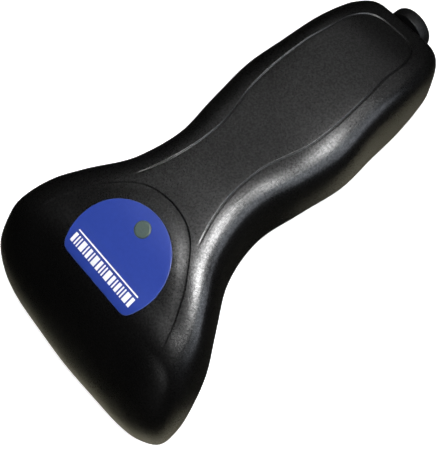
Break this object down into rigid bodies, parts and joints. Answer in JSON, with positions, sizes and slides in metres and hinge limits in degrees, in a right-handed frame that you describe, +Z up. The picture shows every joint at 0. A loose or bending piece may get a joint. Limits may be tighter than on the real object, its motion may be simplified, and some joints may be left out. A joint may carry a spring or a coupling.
{
  "type": "handheld scanner",
  "caption": "Corded hand-held contact scanner: wide flared reading head with a red window below, slim arched handle, trigger under the neck, badge on top.",
  "frame": {"origin": "centre of the bounding box's base, on the surface the scanner lies on", "axes": "+Y from the reading head to the cable end, +Z up from the surface the scanner lies on, +X across the head"},
  "size_m": [0.0984, 0.185, 0.064],
  "materials": {
    "casing": "fine-textured black moulded plastic",
    "trim": "smooth black moulded plastic",
    "badge": "blue printed badge under a clear skin, thin pale edge",
    "light": "translucent grey-green light window",
    "window": "deep red transparent reading window",
    "board": "green circuit board",
    "chip": "black moulded electronic part",
    "steel": "bright plated steel",
    "mirror": "front-surface mirror",
    "lamp": "clear epoxy lamp",
    "foam": "black closed-cell foam",
    "ribbon": "grey flat ribbon cable",
    "glass": "coated lens glass",
    "label": "silver-grey polyester label",
    "inner": "matt black inner moulding",
    "light_plastic": "off-white nylon"
  },
  "bodies": {
    "housing": {"top_shell": "casing", "bottom_shell": "casing", "rating_label": "label", "shell_screw_1": "steel", "shell_screw_2": "steel", "shell_screw_3": "steel", "shell_screw_4": "steel", "badge": "badge", "light_window": "light", "status_board": "board", "status_led": "lamp", "window_bezel": "trim", "window": "window", "window_gasket": "foam", "lamp_board": "board", "lamp_1": "lamp", "lamp_2": "lamp", "lamp_3": "lamp", "lamp_4": "lamp", "lamp_5": "lamp", "lamp_6": "lamp", "lamp_7": "lamp", "lamp_8": "lamp", "light_hood": "inner", "optics_chassis": "inner", "lens_barrel": "chip", "lens": "glass", "sensor": "chip", "sensor_board": "board", "mirror": "mirror", "mirror_clip_left": "steel", "mirror_clip_right": "steel", "main_board": "board", "processor": "chip", "memory_chip": "chip", "crystal": "steel", "capacitor_1": "steel", "capacitor_2": "steel", "buzzer": "chip", "cable_header": "light_plastic", "board_screw_1": "steel", "board_screw_2": "steel", "board_screw_3": "steel", "board_screw_4": "steel", "ribbon_cable": "ribbon", "trigger_pin": "steel", "trigger_switch": "chip", "trigger_spring": "steel", "cable_gland": "trim"},
    "trigger": {"trigger": "trim"},
    "switch_plunger": {"switch_plunger": "light_plastic"}
  },
  "joints": [
    {"name": "trigger_hinge", "type": "hinge", "parent": "housing", "child": "trigger", "pos_m": [0, -0.03069, 0.02621], "axis": [1, 0, 0], "range_deg": [0, 3], "stiffness_Nm_per_rad": 0.6, "springref_deg": -2.86, "deforming": ["trigger_spring"]},
    {"name": "plunger_slide", "type": "slide", "parent": "housing", "child": "switch_plunger", "axis": [0, 0.4067, 0.9135], "range_m": [0, 0.0017]}
  ],
  "couplings": [
    {"joint": "plunger_slide", "follows": "trigger_hinge", "m_per_rad": 0.031}
  ]
}
